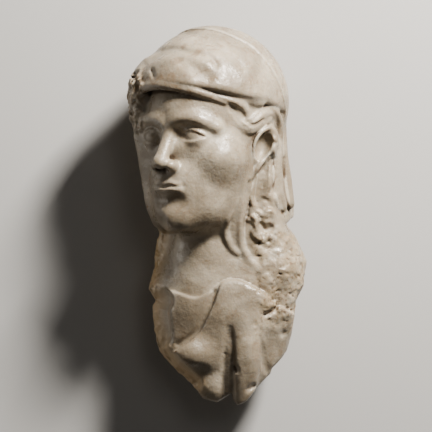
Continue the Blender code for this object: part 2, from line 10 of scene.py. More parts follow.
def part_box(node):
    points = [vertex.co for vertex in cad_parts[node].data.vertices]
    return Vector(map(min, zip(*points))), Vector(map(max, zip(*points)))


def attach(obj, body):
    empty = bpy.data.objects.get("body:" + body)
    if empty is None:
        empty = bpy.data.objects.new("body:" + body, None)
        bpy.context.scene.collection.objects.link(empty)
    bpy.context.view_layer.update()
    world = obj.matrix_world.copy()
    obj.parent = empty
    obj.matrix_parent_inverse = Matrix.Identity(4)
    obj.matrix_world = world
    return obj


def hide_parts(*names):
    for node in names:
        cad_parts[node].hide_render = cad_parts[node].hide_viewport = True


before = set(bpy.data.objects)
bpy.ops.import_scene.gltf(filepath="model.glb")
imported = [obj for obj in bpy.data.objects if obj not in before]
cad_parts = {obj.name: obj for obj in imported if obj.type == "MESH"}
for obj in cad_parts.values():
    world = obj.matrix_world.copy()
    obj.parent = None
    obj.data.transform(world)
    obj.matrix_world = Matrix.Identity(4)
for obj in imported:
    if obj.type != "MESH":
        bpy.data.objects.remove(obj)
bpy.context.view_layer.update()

HEAD_HEIGHT = 0.163
UNIT = HEAD_HEIGHT / 100
HEAD_TURN = math.radians(37)
HEAD_AXIS = np.array([0.0, 0.0, 44.0], np.float32)
FLOOR = 5.0
FLAT_CUT = 0.25
PIECE = "carved_marble"
CAD_NODE = "marble_head"

VOXEL = 0.62
CUBE = 8
GRID_LOW = (-46, -90, 2)
GRID_HIGH = (52, 106, 100)
TRIANGLES = 190000

FAR_AWAY = 1e3
STRAND_REACH = 8
LATTICE_SIZE = 32
LATTICE_MASK = LATTICE_SIZE - 1


# Field helpers: the forms return a signed distance, negative inside the stone

def length(v):
    return np.sqrt(np.einsum("ij,ij->i", v, v))


def turned(axis, degrees):
    return np.array(Matrix.Rotation(math.radians(degrees), 3, axis), np.float32)


def ellipsoid(p, centre, radii, turn=None):
    q = p - np.asarray(centre, np.float32)
    if turn is not None:
        q = q @ turn
    radii = np.asarray(radii, np.float32)
    near = length(q / radii)
    slope = length(q / (radii * radii))
    return near * (near - 1) / np.maximum(slope, 1e-6)


def plane(p, point, outward):
    outward = np.asarray(outward, np.float32)
    return (p - np.asarray(point, np.float32)) @ (outward / np.linalg.norm(outward))


def round_cone(p, start, end, r_start, r_end):
    start = np.asarray(start, np.float32)
    along = np.asarray(end, np.float32) - start
    q = p - start
    share = np.clip(q @ along / (along @ along), 0, 1)
    return length(q - share[:, None] * along) - (r_start + (r_end - r_start) * share)


def union(a, b, soft):
    gap = np.maximum(soft - np.abs(a - b), 0) / soft
    return np.minimum(a, b) - gap * gap * soft / 4


def subtract(a, b, soft):
    return -union(-a, b, soft)


def intersect(a, b, soft):
    return -union(-a, -b, soft)


def span(p):
    """Lowest and highest corner of a cloud of points."""
    columns = np.ascontiguousarray(p.T)
    return columns.min(axis=1), columns.max(axis=1)


def apart(points, low, high):
    """True if some points lie wholly outside a box."""
    points = np.asarray(points)[:, :len(low)]
    return bool((points.max(axis=0) < low).any() or (points.min(axis=0) > high).any())


def smooth_path(points, steps=4):
    """Points on a Catmull-Rom curve through the given ones."""
    knots = [np.asarray(q, np.float32) for q in points]
    knots = [2 * knots[0] - knots[1], *knots, 2 * knots[-1] - knots[-2]]
    found = []
    for a, b, c, d in zip(knots, knots[1:], knots[2:], knots[3:]):
        for t in np.arange(steps) / steps:
            found.append(
                0.5 * (2 * b + (c - a) * t + (2 * a - 5 * b + 4 * c - d) * t**2
                       + (3 * b - a - 3 * c + d) * t**3)
            )
    found.append(knots[-2])
    return np.array(found, np.float32)


def strand(p, points, radii):
    """Distance to a rope through the points, each with its own radius."""
    found = np.full(len(p), FAR_AWAY, np.float32)
    widths = np.broadcast_to(np.asarray(radii, np.float32), (len(points),))
    reach = widths.max() + STRAND_REACH
    low, high = span(p)
    low, high = low - reach, high + reach
    if apart(points, low - 2, high + 2):
        return found
    path = smooth_path([(*q, w) for q, w in zip(points, widths)])
    for a, b in zip(path, path[1:]):
        if apart((a, b), low, high):
            continue
        near = length(p - (a[:3] + b[:3]) / 2) < reach + np.linalg.norm(a[:3] - b[:3]) / 2
        found[near] = np.minimum(found[near], round_cone(p[near], a[:3], b[:3], a[3], b[3]))
    return found


def only_near(f, q, centre, reach, tool):
    """Applies a tool to the points within reach of the centre, and leaves the rest as they are."""
    near = length(q - np.asarray(centre, np.float32)) < reach
    f = f.copy()
    if near.any():
        f[near] = tool(q[near], f[near])
    return f


def only_where(mask, p, form):
    """A form's distance at the points of the mask, and far away elsewhere."""
    f = np.full(len(p), FAR_AWAY, np.float32)
    if mask.any():
        f[mask] = form(p[mask])
    return f


def lattice(seed):
    return np.random.default_rng(seed).uniform(-1, 1, (LATTICE_SIZE,) * 3).astype(np.float32)


LATTICES = [lattice(seed) for seed in range(6)]


def noise(p, size, seed=0):
    """Smooth noise from -1 to 1, with lumps of the given size."""
    values = LATTICES[seed % len(LATTICES)].ravel()
    q = np.ascontiguousarray(p.T) / size + 3.7 * seed
    cell = np.floor(q).astype(np.int32)
    t = (q - cell).astype(np.float32)
    t = t * t * (3 - 2 * t)
    x0, y0, z0 = cell & LATTICE_MASK
    x1, y1, z1 = (cell + 1) & LATTICE_MASK
    rows = []
    for x in (x0 * LATTICE_SIZE**2, x1 * LATTICE_SIZE**2):
        for y in (y0 * LATTICE_SIZE, y1 * LATTICE_SIZE):
            near = values.take(x + y + z0)
            rows.append(near + (values.take(x + y + z1) - near) * t[2])
    left = rows[0] + (rows[1] - rows[0]) * t[1]
    right = rows[2] + (rows[3] - rows[2]) * t[1]
    return left + (right - left) * t[0]


def rough(p, size, seed=0, octaves=3):
    return sum(noise(p, size / 2**n, seed + n) / 2**n for n in range(octaves))


def step(low, high, x):
    t = np.clip((x - low) / (high - low), 0, 1)
    return t * t * (3 - 2 * t)


def swell(distance, width):
    """1 at distance 0, falling off smoothly to 0 beyond the width."""
    return np.exp(-((distance / width) ** 2))


# The head, in its own frame: x to its left, y up, z forward

def to_head(p):
    return (p - HEAD_AXIS) @ turned("Y", -math.degrees(HEAD_TURN))


def mirrored(p):
    q = p.copy()
    q[:, 0] = np.abs(q[:, 0])
    return q


def skull(q):
    f = ellipsoid(q, (0, 59, -2), (29.5, 33, 37.5))
    f = union(f, ellipsoid(q, (0, 30, 5), (26, 31, 28.5)), 8)
    f = union(f, ellipsoid(q, (0, 12, 12), (18.5, 12.5, 21)), 8)
    return union(f, ellipsoid(q, (19, 36, 15), (9.5, 9, 12)), 8)


def eye(q, f):
    """A ball in its socket, and two lids that follow it around an almond-shaped opening."""
    middle_x, middle_y, half_width = 11.6, 45.9, 7.0
    brow = strand(q, [(2, 52, 33), (8, 54.2, 32.8), (15, 54.2, 30), (21.5, 50.5, 23.5)], (2.2, 2.6, 2.6, 2))
    f = union(f, brow, 5)
    f = subtract(f, ellipsoid(q, (middle_x, 46.4, 37.4), (8.2, 4.8, 7)), 5)
    across = (q[:, 0] - middle_x) / half_width
    arch = 1 - across * across
    above = q[:, 1] - (middle_y + 3.0 * arch)
    below = (middle_y - 2.0 * arch) - q[:, 1]
    lid = step(-0.65, 0.65, np.maximum(above, below))
    fold = 0.6 * swell(above - 2.4, 0.8) * step(1.3, 0.9, np.abs(across))
    ball = length(q - np.array([11.4, 46, 24.6], np.float32)) - (7.1 + 1.0 * lid - fold)
    return union(f, ball, 1.4)


def nose(q, f):
    f = union(f, round_cone(q, (0, 50, 31), (0, 35, 38.8), 2.8, 3.4), 3)
    f = union(f, ellipsoid(q, (0, 33.6, 39.8), (3.6, 3.2, 3.6)), 2)
    f = union(f, ellipsoid(q, (4.4, 32.2, 36.4), (2.7, 2.7, 3.8)), 1.6)
    return subtract(f, ellipsoid(q, (2.6, 30.3, 37.6), (1.2, 1.3, 1.8)), 0.8)


def mouth(q, f):
    """Lips raised on the rounded front of the jaw, with a thin line where they meet."""
    x, y, z = q.T
    half_width = 8.6
    f = union(f, ellipsoid(q, (0, 23, 25.5), (12, 10, 9.5)), 7)
    f = union(f, ellipsoid(q, (0, 6.6, 27.5), (8.5, 6.4, 7)), 7)
    line = 21.8 + 0.5 * swell(x - 3.2, 2.2) + 0.3 * step(5, half_width, x)
    full = np.sqrt(np.clip(1 - (x / half_width) ** 2, 0, 1))
    front = step(16, 22, z)
    upper = 0.95 * full * swell(y - line - 1.5 * full, 1.3) * (1 - 0.3 * swell(x, 1.1))
    lower = 1.2 * full * swell(y - line + 1.9 * full, 1.7)
    parting = 0.8 * swell(y - line, 0.8) * step(9.4, 7, x)
    corner = 0.5 * swell(x - 9, 1.6) * swell(y - line, 1.6)
    f = f - front * (upper + lower - parting - corner)
    f = subtract(f, round_cone(q, (0, 14.6, 37.6), (6, 15, 35.4), 2.6, 2.0), 5)
    return subtract(f, round_cone(q, (0, 29, 37.8), (0, 26.2, 37.4), 0.8, 1.0), 1.8)


def hair_ground(q):
    """The low mass that the hair rises from, behind a line that slants from the forehead to the ear."""
    f = ellipsoid(q, (0, 58, -5), (31, 31, 36.5))
    f = intersect(f, plane(q, (25, 55, 9), (0.1, -0.5, 0.86)), 2)
    return intersect(f, 44 - q[:, 1], 2)


CAP_CENTRE = (0, 64, -1.5)
CAP_RADII = (34.5, 36, 41)
CAP_EDGE = 61.6
VEIL_RADII = (35.2, 36.8, 41.9)
CAP_FOLDS = [
    ([(-22, 76, 28), (-15, 82, 28), (-6, 85.5, 28), (5, 84, 30), (14, 79, 31), (20, 75, 29)], 1.5, 3.8),
    ([(-4, 97, 13), (8, 93, 17), (18, 86, 16), (26, 79, 12)], 0.9, 3.2),
]


def cap(q):
    x, y, z = q.T
    f = ellipsoid(q, CAP_CENTRE, CAP_RADII)
    f = union(f, ellipsoid(q, (-17, 75, 17), (13, 10.5, 14)), 6)
    edge = CAP_EDGE + 0.24 * z + 0.9 * step(20, 30, x) * step(16, 4, z)
    f = intersect(f, (edge - y) * 0.97, 3.4)
    for line, depth, width in CAP_FOLDS:
        f = f + depth * np.exp(-(np.maximum(strand(q, line, 0.0), 0) / width) ** 2)
    layer = ellipsoid(q, CAP_CENTRE, VEIL_RADII)
    front = z + 18.5 - 0.62 * (y - 62) - 6 * step(88, 100, y)
    return union(f, intersect(layer, front * 0.8, 1.0), 0.4)


def head(p):
    q = to_head(p)
    m = mirrored(q)
    f = skull(m)
    f = only_near(f, m, (12, 49, 27), 20, eye)
    f = only_near(f, m, (0, 38, 35), 20, nose)
    f = only_near(f, m, (0, 17, 32), 26, mouth)
    f = union(f, hair_ground(m), 1.5)
    return union(f, cap(q), 0.8)


# The hair and the left ear, in the row frame

BAND = [(-36, 66, 53), (-32, 69.6, 61.6), (-26, 70.8, 69.8), (-20, 70.4, 74.4), (-10, 68.6, 77.4),
        (-2.4, 66.4, 77), (5.4, 64, 74.6), (11, 62.4, 72.4), (14.8, 61.2, 69.8), (16.6, 58.4, 68),
        (17, 55.4, 66.4)]
BAND_RADII = (2.4, 2.4, 2.3, 2.2, 2.1, 2.2, 2.4, 2.6, 2.6, 2.2, 1.8)
TEMPLE_LOCK = [(4.5, 63, 72.8), (8.2, 59, 71.4), (11.2, 55.2, 69.6), (13.8, 52, 68)]
OVER_EAR = [(13.6, 52.6, 67.6), (17, 52, 66), (20.6, 54, 63.6), (24.4, 57.2, 60), (28, 58.8, 56),
            (31.4, 57.4, 51.6), (33.4, 53.6, 47.6), (33.6, 48, 45.6), (32.6, 43, 45)]
OVER_EAR_RADII = (2.8, 3.6, 3.8, 3.6, 3.2, 2.8, 2.4, 2.0, 1.6)
UNDER_LOCK = [(15.6, 49.4, 66.4), (19.8, 50, 63.6), (24, 52.8, 60.4), (28, 54.8, 56)]
FAR_SIDE = [
    ((-28.5, 54, 42), (11, 21, 14)),
    ((-22, 26, 43), (13, 26, 13)),
    ((-33.4, 65, 52.6), (6.2, 14, 8)),
]


def hair(p, f):
    for centre, radii in FAR_SIDE:
        f = union(f, ellipsoid(p, centre, radii), 4)
    under_cap = [(x, y + 2.6, z - 1.6) for x, y, z in BAND[3:9]]
    f = union(f, strand(p, under_cap, 2.4), 1.0)
    f = union(f, strand(p, BAND, BAND_RADII), 1.0)
    f = union(f, strand(p, TEMPLE_LOCK, (1.6, 2.2, 2.2, 1.8)), 1.0)
    f = union(f, strand(p, OVER_EAR, OVER_EAR_RADII), 1.2)
    f = union(f, strand(p, UNDER_LOCK, (2.2, 2.8, 2.8, 2)), 1.2)
    temple_hollow = [(8.6, 61.4, 75.4), (11.4, 59.6, 73.4), (13.6, 57, 71.6)]
    f = subtract(f, strand(p, temple_hollow, (0.5, 1.5, 0.8)), 1.2)
    over_ear_groove = [(16.6, 54.4, 70), (21, 51.6, 67.4), (25.6, 54.6, 63)]
    return subtract(f, strand(p, over_ear_groove, (0.4, 0.8, 0.4)), 1.0)


EAR_RIM = [(22, 36.2, 61.6), (21.4, 40, 63), (22.2, 44.4, 63.6), (25, 48.4, 62.2), (28.6, 50.4, 59.8),
           (30.8, 47.2, 58), (30.7, 43, 57.6), (29.4, 39.2, 58.4), (27, 36.2, 59.4), (24.8, 33.4, 60.2),
           (22.8, 30.4, 60.2), (20.9, 27.4, 59)]
EAR_RIM_RADII = (0.9, 0.9, 1.0, 1.2, 1.3, 1.2, 1.1, 1.1, 1.2, 1.5, 1.4, 1.0)


def ear(p, f):
    lean = turned("Z", -24)
    f = union(f, ellipsoid(p, (26.2, 41.4, 54.5), (6.2, 11, 7.4), lean), 2)
    f = union(f, strand(p, [(19.6, 46, 60), (20.4, 41, 60.4), (21.8, 35, 59.6)], (2.2, 2.2, 2.4)), 2)
    f = union(f, strand(p, EAR_RIM, EAR_RIM_RADII), 1.0)
    return subtract(f, ellipsoid(p, (26.1, 41.6, 61.6), (3.8, 7.2, 5.6), lean), 0.8)


# The neck, chest and veil, in the row frame

def neck(p):
    return round_cone(p, (-2, -32, 36), (0, 18, 44), 19.5, 17)


def chest(p):
    f = ellipsoid(p, (4, -42, 26), (38, 46, 29))
    f = union(f, ellipsoid(p, (26, -20, 34), (22.5, 28, 23)), 12)
    return union(f, ellipsoid(p, (-17.5, -4, 29), (10.5, 14, 11)), 6)


NECKLINE = [(-40, -25), (-24, -27), (-15.9, -29), (-7.8, -31.4), (-2.3, -29.8), (3.1, -25.4),
            (7.5, -23.4), (12.9, -22.9), (20, -25.4), (26, -29), (34, -36), (50, -44)]
MANTLE_EDGE = [(-90, -44), (-66, -27), (-60.8, -20.8), (-55.9, -14.3), (-53, -10), (-47.8, -5),
               (-42.3, -2.3), (-36.3, 1), (-30, 3.1), (-24, 4.4), (20, 10)]


def dress(p, body):
    x, y = p[:, 0], p[:, 1]
    line = smooth_path(NECKLINE).T
    below = (y - np.interp(x, line[0], line[1])) * 0.85
    tunic = intersect(body - 1.3, below, 1.8)
    line = smooth_path(MANTLE_EDGE).T
    left = (np.interp(y, line[0], line[1]) - x) * 0.78
    thickness = 2.6 + 2.6 * swell(x - 13, 15) * swell(y + 38, 16)
    mantle = body - thickness
    mantle = union(mantle, ellipsoid(p, (-8, -58.5, 46), (13.5, 10.5, 13.5)), 5)
    mantle = union(mantle, strand(p, [(17.5, -44, 53), (18, -60, 53), (16.5, -80, 47)], (7, 7, 5.5)), 5)
    beside_fold = [(15.4, -46, 55.4), (15, -58, 55.8), (14.8, -70, 53), (14.6, -86, 47)]
    mantle = union(mantle, strand(p, beside_fold, (2.6, 3.4, 3.4, 3.2)), 2)
    mantle = union(mantle, ellipsoid(p, (2, -74, 40), (9, 11, 11)), 4)
    mantle = subtract(mantle, strand(p, DEEP_FOLD, (0.5, 1.6, 2.2, 2.2, 2)), 3)
    mantle = subtract(mantle, strand(p, SIDE_FOLD, (0.6, 2.0, 2.4, 2.0)), 1.6)
    mantle = subtract(mantle, ellipsoid(p, (-7, -71.5, 59), (8, 5.5, 7)), 4)
    mantle = intersect(intersect(mantle, below, 2.6), left, 2.2)
    return union(union(body, tunic, 0.5), mantle, 0.5)


DEEP_FOLD = [(9.6, -47.5, 60), (9.4, -53, 57.6), (9, -61, 56), (8.8, -71, 53.4), (8.8, -86, 49.4)]
SIDE_FOLD = [(24.8, -51, 57.6), (26.8, -58, 53.6), (27.6, -64.5, 50), (31, -71, 43.5)]


def locks(p, f):
    strip = [(21, 40, 56), (17, 32, 57.5), (14.4, 22, 57.5), (12.6, 12, 56), (11.2, 3, 53.6), (12, -6, 50)]
    f = union(f, strand(p, strip, (2, 4.6, 5.2, 5.4, 5.6, 5.6)), 3)
    left_ridge = [(13.6, 32, 61.8), (12.4, 23, 62), (10.9, 15, 62.8), (8.8, 7, 63.4), (7.4, 2, 59.4),
                  (8.2, -3.6, 57), (10.4, -7.6, 55.4), (13.6, -10.4, 54.6)]
    f = union(f, strand(p, left_ridge, (0.6, 1.1, 1.4, 1.4, 1.5, 1.6, 1.4, 1.2)), 1.6)
    right_ridge = [(17.4, 32, 61.4), (16, 23, 61.8), (15.3, 14, 60.8), (14.8, 6, 59), (14.6, -1, 56.8),
                   (15.6, -7, 54.6), (18.6, -12, 54), (22, -16.4, 55), (26.4, -20.8, 55.4)]
    f = union(f, strand(p, right_ridge, (0.8, 1.4, 1.6, 1.6, 1.6, 1.8, 2.0, 2.0, 1.6)), 1.6)
    mass = [(29, 40, 47), (27.4, 28, 48), (26, 14, 48), (27, 2, 48), (29, -6, 45)]
    f = union(f, strand(p, mass, (4, 6, 8, 9, 9)), 3)
    f = union(f, strand(p, UNDER_CURLS, (4, 6, 6, 6.4, 6.4, 5.6)), 2)
    for curl, radii in CURLS:
        f = union(f, strand(p, curl, radii), 1.2)
    for cut, radii in DRILLED:
        f = subtract(f, strand(p, cut, radii), 1.2)
    return f


UNDER_CURLS = [(26, 36, 51), (24, 28, 51.4), (22, 20, 51.4), (20.2, 10, 50.4), (20, 0, 50), (22.4, -8, 50.4)]
CURLS = [
    ([(30.4, 40, 53), (29, 35, 54.4), (28.8, 29, 55), (28.2, 23.4, 55.2), (26.4, 19, 55)],
     (1.6, 2.2, 2.8, 3, 2.4)),
    ([(21.8, 27, 57.6), (20.6, 21.6, 58), (19.8, 16.4, 57.6), (21, 12.4, 57), (20, 8.4, 56.6)],
     (1, 1.4, 1.7, 1.8, 1.2)),
    ([(19, 6.4, 56.4), (21.4, 7, 57.2), (22.6, 3.6, 57), (21.4, 0, 56), (24, -3, 55.6), (27, -3.6, 54.6)],
     (1.4, 1.9, 2, 1.9, 2, 1.4)),
    ([(23.4, 10, 55.6), (26, 8.6, 56.2), (29, 9.6, 55.4), (31, 6.4, 54)], (1.4, 1.9, 2.2, 1.6)),
    ([(27.4, 19, 55), (30.4, 16, 53.6), (31.4, 11, 52.6)], (2.2, 2.4, 2)),
]
DRILLED = [
    ([(29.4, 36.6, 59), (26.6, 31.4, 60), (24.2, 26.8, 60), (21.8, 20.4, 60)], (0.9, 1.5, 1.7, 1.0)),
    ([(19, 24, 61.8), (17.9, 16, 61), (17.3, 6, 59.6), (17.8, 0, 58), (20.6, -4.2, 57.4), (23, -6, 56.8)],
     (0.8, 1.3, 1.4, 1.2, 1, 0.6)),
    ([(22.6, 15.6, 60), (25, 13.6, 59.8), (28, 13.4, 58.6)], (1.2, 2.0, 1.4)),
    ([(25.4, 3.4, 58.6), (27.6, 1.8, 58), (29.4, 2.4, 57)], (1.6, 2.2, 1.6)),
]


VEIL_AXIS = (5, 26)
VEIL_REACH = (32.6, 24)
VEIL_MEAN_REACH = 28
VEIL_TOP = 74
VEIL_FRONT = 43
VEIL_FOLDS = [
    ([(33.6, 60, 42), (33, 46, 43.8), (32.4, 33, 45.4), (33.4, 21, 46), (35.6, 12.4, 45)],
     (2.2, 2.4, 2.6, 3.2, 2.8)),
    ([(33.4, 54, 39), (33.4, 40, 40.2), (33.8, 28, 41), (35.4, 16, 41.4), (36.4, 9, 41)],
     (1.6, 2, 2.6, 2.6, 2)),
    ([(35.4, 50, 35), (35.4, 38, 36.6), (36.6, 27, 36), (38.4, 14, 37.6)], (2.2, 2.8, 3.4, 3)),
    ([(34.6, 47, 26.5), (35.4, 35, 24.8), (36.4, 24, 27.6), (37.4, 13, 25.6)], (2, 2.8, 3.2, 3)),
]


def veil(p):
    x, y, z = p.T
    flare = 1 + 0.10 * step(32, 16, y)
    across = (x - VEIL_AXIS[0]) / (VEIL_REACH[0] * flare)
    deep = (z - VEIL_AXIS[1]) / VEIL_REACH[1]
    around = np.arctan2(deep, across)
    ripple = 0.5 * np.sin(11 * around) * step(58, 30, y)
    sheet = (np.sqrt(across**2 + deep**2) - 1) * VEIL_MEAN_REACH + ripple
    foot = 3 + 2.2 * noise(p, 11, 4) - 30 * step(34, 20, z)
    sheet = intersect(sheet, np.maximum(y - VEIL_TOP, foot - y), 7)
    f = intersect(sheet, z - VEIL_FRONT, 3)
    for fold, radii in VEIL_FOLDS:
        f = union(f, strand(p, fold, radii), 2.4)
    return union(f, ellipsoid(p, (32, 4, 38), (7.5, 8, 12)), 3)


# The breaks

OUTLINE = [(-60, 2.5), (-26, 2.5), (-24.3, 0), (-27.2, -11), (-29.2, -22), (-29.4, -28), (-26.6, -33.5),
           (-28.1, -37), (-27, -48), (-24.6, -58), (-18.1, -66.8), (-8.3, -74.4), (-6.1, -77.7),
           (-3.4, -81.5), (3.7, -83.2), (10.4, -78.6), (11.2, -82), (13.5, -84.5), (17.3, -82.6),
           (22.7, -76.6), (29.8, -69.5), (30.4, -66.8), (37.4, -58.6), (39.8, -50.4), (41.8, -36.8),
           (42.4, -32.5), (45.6, -26), (46.7, -14), (44, -6.8), (41.3, -1.5), (37, 4.2), (39.8, 6),
           (60, 12), (60, 120), (-60, 120)]
LEFT_EDGE = OUTLINE[2:12]
FAR = 12.0


def from_line(p, a, b):
    """Steps in the x and y plane from the nearest point of a straight line to each point."""
    a = np.array(a, np.float32)
    along = np.array(b, np.float32) - a
    w = p[:, :2] - a
    share = np.clip(w @ along / (along @ along), 0, 1)
    return w - share[:, None] * along


def far_from(middle, half, line, reach):
    """True if a cloud with this middle and half size is further than reach from a line in x and y."""
    return min(length(from_line(middle[None], a, b))[0] for a, b in zip(line, line[1:])) > reach + half


def is_inside(p, line):
    inside = np.zeros(len(p), bool)
    for a, b in zip(line, line[1:]):
        crosses = (a[1] > p[:, 1]) != (b[1] > p[:, 1])
        side = (p[:, 0] - a[0]) * (b[1] - a[1]) < (p[:, 1] - a[1]) * (b[0] - a[0])
        inside ^= crosses & (side == (b[1] > a[1]))
    return inside


def broken_outline(p):
    """Distance in the x and y plane to the broken outline of the chest, at most FAR."""
    closed = OUTLINE + OUTLINE[:1]
    low, high = span(p[:, :2])
    middle, half = (low + high) / 2, np.linalg.norm(high - low) / 2
    if far_from(middle, half, closed, FAR):
        return np.full(len(p), -FAR if is_inside(p[:1], closed)[0] else FAR, np.float32)
    nearest = np.full(len(p), FAR, np.float32)
    for a, b in zip(closed, closed[1:]):
        if not far_from(middle, half, [a, b], FAR):
            nearest = np.minimum(nearest, length(from_line(p, a, b)))
    return nearest * np.where(is_inside(p, closed), -1, 1)


def from_left_edge(p):
    nearest = [length(from_line(p, a, b)) for a, b in zip(LEFT_EDGE, LEFT_EDGE[1:])]
    return np.minimum.reduce(nearest)


BACK_BREAKS = [
    ((8, -28, FLOOR), (0, -0.55, -0.83)),
    ((-6, -20, FLOOR), (-0.72, 0, -0.69)),
    ((26, -20, FLOOR), (0.78, -0.1, -0.62)),
]


def broken(p, f):
    x, y, z = p.T
    lumps = rough(p, 14, 9, 2)
    chip = 0.9 * rough(p, 9, 3)
    crust = step(16, 26, x) * step(8, 0, y) * step(-52, -40, y)
    f = f - crust * (0.8 * chip + 0.9 * lumps)
    f = intersect(f, broken_outline(p) + 0.5 * chip, 1.2)
    from_edge = from_left_edge(p)
    shelf = 7.5 - 5 * step(-48, -58, y)
    bevel = (z - 37 - 1.25 * from_edge - 3 * np.maximum(from_edge - shelf, 0)) / 1.6
    f = intersect(f, np.minimum(bevel, -1 - y) + 0.5 * chip, 1.0)
    jaw = -plane(p, (-28.5, 13, 60), (-0.86, -0.40, 0.30))
    jaw = np.maximum.reduce([jaw, y - 36, -4 - y])
    f = subtract(f, jaw - 0.6 * chip, 0.8)
    temple = -plane(p, (-36, 58, 44), (-0.80, -0.14, -0.58))
    temple = np.maximum(temple, 3 - y + 4 * lumps)
    f = subtract(f, temple - chip - 1.2 * lumps, 1.0)
    for point, outward in BACK_BREAKS:
        gone = np.maximum(-plane(p, point, outward), y - 4)
        f = subtract(f, gone - chip - 1.5 * lumps, 2.0)
    return f


def torso(p):
    return dress(p, union(neck(p), chest(p), 7))


def carved(p):
    """The sculpture before it broke."""
    f = only_where(p[:, 1] > -14, p, head)
    f = only_near(f, p, (-4, 48, 56), 62, hair)
    f = only_near(f, p, (26, 41, 58), 20, ear)
    f = union(f, only_where(p[:, 1] < 42, p, torso), 4)
    f = union(f, only_where((p[:, 1] > -36) & (p[:, 2] < 62), p, veil), 2.5)
    return only_near(f, p, (20, 10, 54), 42, locks)


# Finer carving and wear on the front

# Lines in x and y, all of one depth and width
STRANDS = [
    [(2, 65.6), (7, 63.2), (12, 61.4), (15.4, 58.6), (16.8, 55.2)],
    [(9.4, 58.6), (12.6, 55), (15.4, 51.8), (18.4, 50.6)],
    [(17.6, 53.4), (20.4, 53.8), (23.4, 56.6), (27, 59.2), (30.4, 58.6), (32.6, 55.4), (33, 50)],
    [(28.2, 35), (27.6, 29), (27.6, 23), (25.8, 18.6)],
    [(30.2, 33), (29.8, 27), (29.6, 21), (28, 17.6)],
    [(20.4, 25), (19.6, 20), (19, 15.4), (20.4, 11.6)],
    [(18.6, 7.4), (21.4, 5.4), (21, 1.8), (22.8, -1.6), (26, -2.6)],
    [(24.2, 11), (26.8, 9.2), (29.6, 9)],
]
# Lines in x and y, each with its depth and width; a negative depth raises the stone
GROOVES = [
    ([(-30, 86.4), (-21.5, 88.3), (-15.9, 88.3), (-7.5, 86), (-0.2, 84.4), (3, 80.6)], 0.7, 1.6),
    ([(-30, 82.6), (-21.5, 84.4), (-15.9, 84.6), (-7.5, 82.4), (-1.6, 80.6)], -0.4, 2.4),
    ([(-15.6, -54.6), (-10.6, -51.4), (-6.2, -47.8), (-3.4, -42.6), (-0.6, -36), (2, -29)], 0.8, 1.2),
    ([(-25.8, -27.4), (-24.4, -30.6), (-22.8, -34.4)], 0.9, 1.3),
    ([(-21, -44), (-19.2, -50), (-19.6, -54)], 0.8, 1.2),
    ([(26.6, -40), (29, -39.2), (32, -37.2)], 1.5, 1.2),
    ([(-27.8, 78), (-27.2, 75.4)], 1.0, 1.0),
    ([(19, -76.4), (21, -74.8)], 1.4, 1.3),
    ([(12.4, -65.8), (13.2, -67.4)], 0.9, 1.0),
    ([(29.4, -33.4), (30.2, -33)], 0.8, 1.0),
    ([(35.4, -50), (36, -49)], 0.8, 1.2),
    ([(7.0, -59), (7.3, -59.2)], 0.5, 0.5),
    ([(24.6, 3.6), (27.2, 0.4), (30, 2.2)], 1.2, 1.5),
    ([(31.8, 45.4), (33, 43), (31.6, 40.6), (31.4, 37.4)], -0.9, 1.2),
    ([(30.4, 38), (30.2, 32), (30.6, 20), (32.2, 12.4), (35, 9.4)], 0.6, 0.9),
    ([(36.2, 36), (35.6, 27), (36.6, 18), (38, 11)], 0.7, 0.9),
]
# Lines through hollows that are filled to make them shallower, and the radius of each fill
UNDER_CAP = [(-8, 70.6, 74.5), (-2, 69.4, 75), (5, 67.4, 73.5), (11, 65.6, 71.5), (17, 64, 68.5),
             (24, 62.6, 63.5)]
IN_DEEP_FOLD = [(10.2, -50, 53.6), (10.4, -56, 53.2), (10.4, -64, 51.4), (10.2, -74, 48.6), (10, -86, 45)]
UNDER_EYE = [(-14, 40, 66.8), (-9.5, 40, 68.6), (-5, 40.2, 69.6)]
FILLS = [(UNDER_CAP, 2.2), (IN_DEEP_FOLD, 3.2), (UNDER_EYE, 7.0)]
FILL_SOFTNESS = 1.8
STRAND_DEPTH, STRAND_WIDTH = 0.4, 0.7
FRONT = 40.0
FINE_REACH = 6
WEAR_REACH = 6


def near_path(p, line, low, high):
    """Distance in x and y to a smooth line, for points within a box."""
    found = np.full(len(p), FAR_AWAY, np.float32)
    if apart(line, low - 2, high + 2):
        return found
    path = smooth_path(line)
    for a, b in zip(path, path[1:]):
        if not apart((a, b), low, high):
            found = np.minimum(found, length(from_line(p, a, b)))
    return found


def crust_mask(p):
    """Where the shoulder is covered with rough crust."""
    x, y, z = p.T
    edge = 3 * noise(p, 7, 4)
    return step(20, 25, x + edge) * step(4, -2, y + edge) * step(-52, -42, y + edge) * step(14, 24, z)


def near_curls(p):
    """Where the curls under the ear are weathered and pitted."""
    x, y, z = p.T
    return swell(x - 26, 7) * swell(y - 10, 16) * step(40, 46, z)


def far_curls(p):
    """Where the curls of the far temple are broken to rough facets."""
    x, y, z = p.T
    return step(-31.5, -34.5, x) * step(46, 51, y) * step(80, 74, y) * step(30, 40, z)


def fine(p, f):
    """Strands of hair, pits, small folds and shallow fills in the front, before the breaks."""
    front = step(FRONT - 6, FRONT, p[:, 2])
    if not front.any():
        return f
    low, high = span(p[:, :2])
    low, high = low - FINE_REACH, high + FINE_REACH
    for line, depth, width in [(line, STRAND_DEPTH, STRAND_WIDTH) for line in STRANDS] + GROOVES:
        away = near_path(p, line, low, high)
        if away.min() < FINE_REACH:
            f = f + depth * front * swell(away, width)
    for line, radius in FILLS:
        f = union(f, strand(p, line, radius), FILL_SOFTNESS)
    return f


